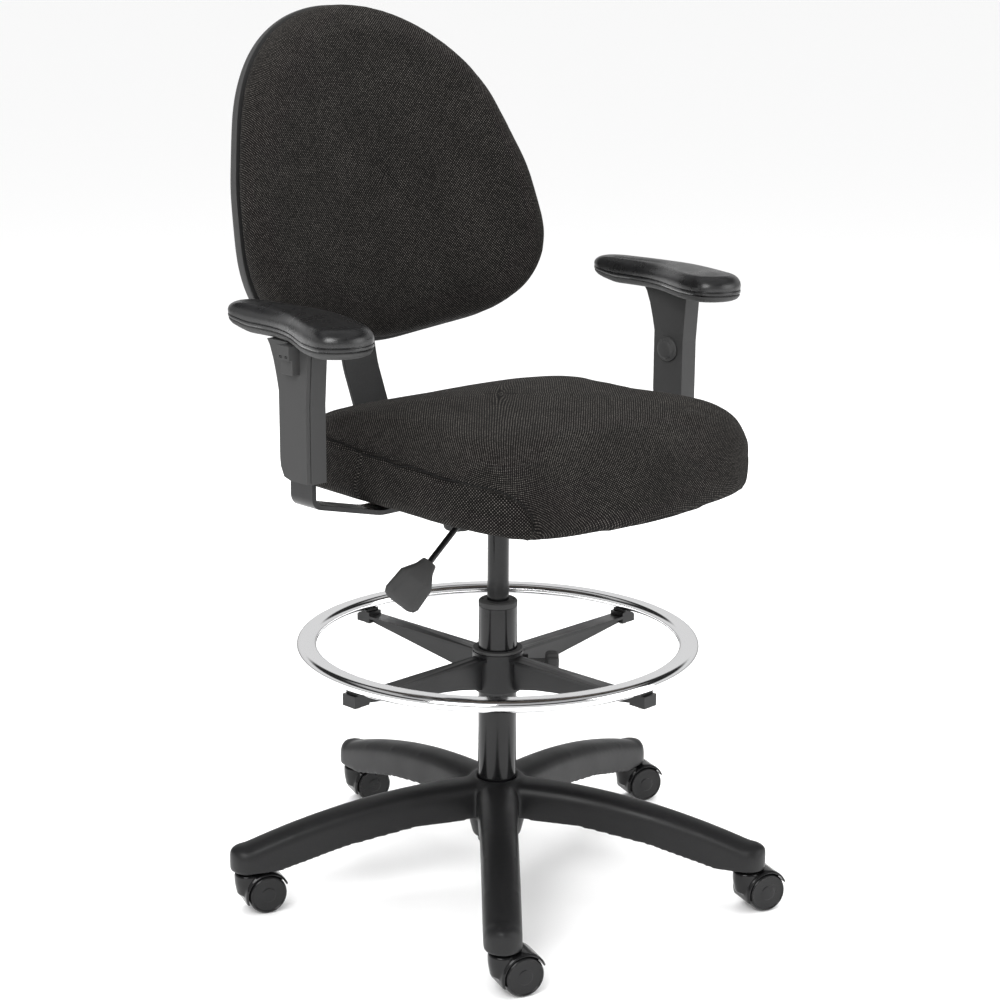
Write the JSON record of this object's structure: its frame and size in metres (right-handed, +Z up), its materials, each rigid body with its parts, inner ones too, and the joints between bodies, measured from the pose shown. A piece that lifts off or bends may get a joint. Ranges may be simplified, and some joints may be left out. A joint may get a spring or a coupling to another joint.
{
  "type": "drafting chair",
  "caption": "Tall swivel drafting chair with five-star caster base, gas lift, clamped chrome foot ring, contoured fabric seat and back, and height-adjustable arms.",
  "frame": {"origin": "on the floor, on the axis of the gas lift column", "axes": "+Z up, -Y towards the front of the chair, +X towards the sitter's left"},
  "size_m": [0.7679, 0.6803, 1.1297],
  "materials": {
    "nylon": "fine textured moulding",
    "wheel": "smooth hard nylon",
    "zinc_steel": "zinc plated",
    "black_steel": "satin black powder coat",
    "board": "sealed plywood",
    "fabric": "woven upholstery",
    "moulded_black": "satin moulding",
    "urethane": "soft skin, fine grain",
    "spider": "powder coat",
    "chrome": "polished"
  },
  "bodies": {
    "base": {"base_star": "nylon", "column_tube": "black_steel", "column_bush": "nylon", "thrust_bearing": "zinc_steel"},
    "caster_1": {"caster_1_hood": "nylon", "caster_1_stem": "zinc_steel", "caster_1_axle": "zinc_steel"},
    "wheels_1": {"caster_1_wheels": "wheel"},
    "caster_2": {"caster_2_hood": "nylon", "caster_2_stem": "zinc_steel", "caster_2_axle": "zinc_steel"},
    "wheels_2": {"caster_2_wheels": "wheel"},
    "caster_3": {"caster_3_hood": "nylon", "caster_3_stem": "zinc_steel", "caster_3_axle": "zinc_steel"},
    "wheels_3": {"caster_3_wheels": "wheel"},
    "caster_4": {"caster_4_hood": "nylon", "caster_4_stem": "zinc_steel", "caster_4_axle": "zinc_steel"},
    "wheels_4": {"caster_4_wheels": "wheel"},
    "caster_5": {"caster_5_hood": "nylon", "caster_5_stem": "zinc_steel", "caster_5_axle": "zinc_steel"},
    "wheels_5": {"caster_5_wheels": "wheel"},
    "rod": {"piston_rod": "zinc_steel"},
    "lift": {"gas_cylinder": "black_steel", "mechanism_housing": "black_steel", "seat_board": "board", "seat_cushion": "fabric", "seat_bolts": "zinc_steel", "arm_bar_right": "black_steel", "arm_bar_left": "black_steel"},
    "valve": {"valve_pin": "zinc_steel"},
    "lever": {"lever_rod": "black_steel", "lever_paddle": "moulded_black"},
    "back_carrier": {"back_bar": "black_steel"},
    "depth_clamp": {"depth_knob": "moulded_black"},
    "backrest": {"back_shell": "moulded_black", "back_cushion": "fabric", "back_bracket": "nylon"},
    "height_clamp": {"height_knob": "moulded_black"},
    "arm_right": {"arm_cover_right": "moulded_black", "arm_sleeve_right": "moulded_black", "arm_cap_right": "moulded_black"},
    "button_right": {"arm_button_right": "moulded_black"},
    "pad_right": {"arm_plate_right": "moulded_black", "arm_pad_right": "urethane"},
    "arm_left": {"arm_cover_left": "moulded_black", "arm_sleeve_left": "moulded_black", "arm_cap_left": "moulded_black"},
    "button_left": {"arm_button_left": "moulded_black"},
    "pad_left": {"arm_plate_left": "moulded_black", "arm_pad_left": "urethane"},
    "collet": {"ring_collet": "nylon"},
    "ring": {"ring_spider": "spider", "foot_ring": "chrome", "ring_saddles": "moulded_black", "ring_screws": "zinc_steel"},
    "ring_clamp": {"ring_knob": "moulded_black"}
  },
  "joints": [
    {"name": "caster_1_swivel", "type": "hinge", "parent": "base", "child": "caster_1", "pos_m": [-0.22497, -0.24551, 0.056], "axis": [0, 0, 1], "continuous": true},
    {"name": "caster_1_roll", "type": "hinge", "parent": "caster_1", "child": "wheels_1", "pos_m": [-0.20618, -0.25235, 0.025], "axis": [0.342, 0.9397, 0], "continuous": true},
    {"name": "caster_2_swivel", "type": "hinge", "parent": "base", "child": "caster_2", "pos_m": [0.16398, -0.28983, 0.056], "axis": [0, 0, 1], "continuous": true},
    {"name": "caster_2_roll", "type": "hinge", "parent": "caster_2", "child": "wheels_2", "pos_m": [0.18277, -0.29667, 0.025], "axis": [0.342, 0.9397, 0], "continuous": true},
    {"name": "caster_3_swivel", "type": "hinge", "parent": "base", "child": "caster_3", "pos_m": [0.32632, 0.06639, 0.056], "axis": [0, 0, 1], "continuous": true},
    {"name": "caster_3_roll", "type": "hinge", "parent": "caster_3", "child": "wheels_3", "pos_m": [0.34511, 0.05955, 0.025], "axis": [0.342, 0.9397, 0], "continuous": true},
    {"name": "caster_4_swivel", "type": "hinge", "parent": "base", "child": "caster_4", "pos_m": [0.0377, 0.33086, 0.056], "axis": [0, 0, 1], "continuous": true},
    {"name": "caster_4_roll", "type": "hinge", "parent": "caster_4", "child": "wheels_4", "pos_m": [0.05649, 0.32402, 0.025], "axis": [0.342, 0.9397, 0], "continuous": true},
    {"name": "caster_5_swivel", "type": "hinge", "parent": "base", "child": "caster_5", "pos_m": [-0.30302, 0.13809, 0.056], "axis": [0, 0, 1], "continuous": true},
    {"name": "caster_5_roll", "type": "hinge", "parent": "caster_5", "child": "wheels_5", "pos_m": [-0.28422, 0.13125, 0.025], "axis": [0.342, 0.9397, 0], "continuous": true},
    {"name": "seat_swivel", "type": "hinge", "parent": "base", "child": "rod", "pos_m": [0, 0, 0.063], "axis": [0, 0, 1], "continuous": true},
    {"name": "seat_lift", "type": "slide", "parent": "rod", "child": "lift", "axis": [0, 0, 1], "range_m": [-0.08, 0.15]},
    {"name": "height_lever", "type": "hinge", "parent": "lift", "child": "lever", "pos_m": [-0.024, 0, 0.5251], "axis": [0, 1, 0], "range_deg": [0, 8], "stiffness_Nm_per_rad": 3, "springref_deg": -5.73},
    {"name": "valve_press", "type": "slide", "parent": "lift", "child": "valve", "axis": [0, 0, -1], "range_m": [0, 0.0038]},
    {"name": "back_depth", "type": "slide", "parent": "lift", "child": "back_carrier", "axis": [0, 1, 0], "range_m": [0, 0.05]},
    {"name": "depth_knob_turn", "type": "hinge", "parent": "lift", "child": "depth_clamp", "pos_m": [0, 0.076, 0.4848], "axis": [0, 0, -1], "range_deg": [0, 360]},
    {"name": "back_height", "type": "slide", "parent": "back_carrier", "child": "backrest", "axis": [0, 0.225, 0.9744], "range_m": [0, 0.075]},
    {"name": "height_knob_turn", "type": "hinge", "parent": "backrest", "child": "height_clamp", "pos_m": [0, 0.25087, 0.81405], "axis": [0, 0.9744, -0.225], "range_deg": [0, 360]},
    {"name": "arm_height_right", "type": "slide", "parent": "lift", "child": "arm_right", "axis": [0, 0, 1], "range_m": [0, 0.075]},
    {"name": "arm_button_press_right", "type": "slide", "parent": "arm_right", "child": "button_right", "axis": [1, 0, 0], "range_m": [0, 0.004], "stiffness_N_per_m": 900, "springref_m": -0.002},
    {"name": "pad_swivel_right", "type": "hinge", "parent": "arm_right", "child": "pad_right", "pos_m": [-0.32, 0, 0.752], "axis": [0, 0, 1], "range_deg": [-30, 30]},
    {"name": "arm_height_left", "type": "slide", "parent": "lift", "child": "arm_left", "axis": [0, 0, 1], "range_m": [0, 0.075]},
    {"name": "arm_button_press_left", "type": "slide", "parent": "arm_left", "child": "button_left", "axis": [-1, 0, 0], "range_m": [0, 0.004], "stiffness_N_per_m": 900, "springref_m": -0.002},
    {"name": "pad_swivel_left", "type": "hinge", "parent": "arm_left", "child": "pad_left", "pos_m": [0.32, 0, 0.752], "axis": [0, 0, 1], "range_deg": [-30, 30]},
    {"name": "ring_height", "type": "slide", "parent": "base", "child": "collet", "axis": [0, 0, 1], "range_m": [-0.105, 0.04]},
    {"name": "ring_turn", "type": "hinge", "parent": "collet", "child": "ring", "pos_m": [0, 0, 0.289], "axis": [0, 0, 1], "continuous": true},
    {"name": "ring_knob_turn", "type": "hinge", "parent": "ring", "child": "ring_clamp", "pos_m": [0, 0, 0.297], "axis": [0.766, -0.6428, 0], "range_deg": [0, 360]}
  ],
  "couplings": [
    {"joint": "valve_press", "follows": "height_lever", "m_per_rad": 0.0265}
  ]
}
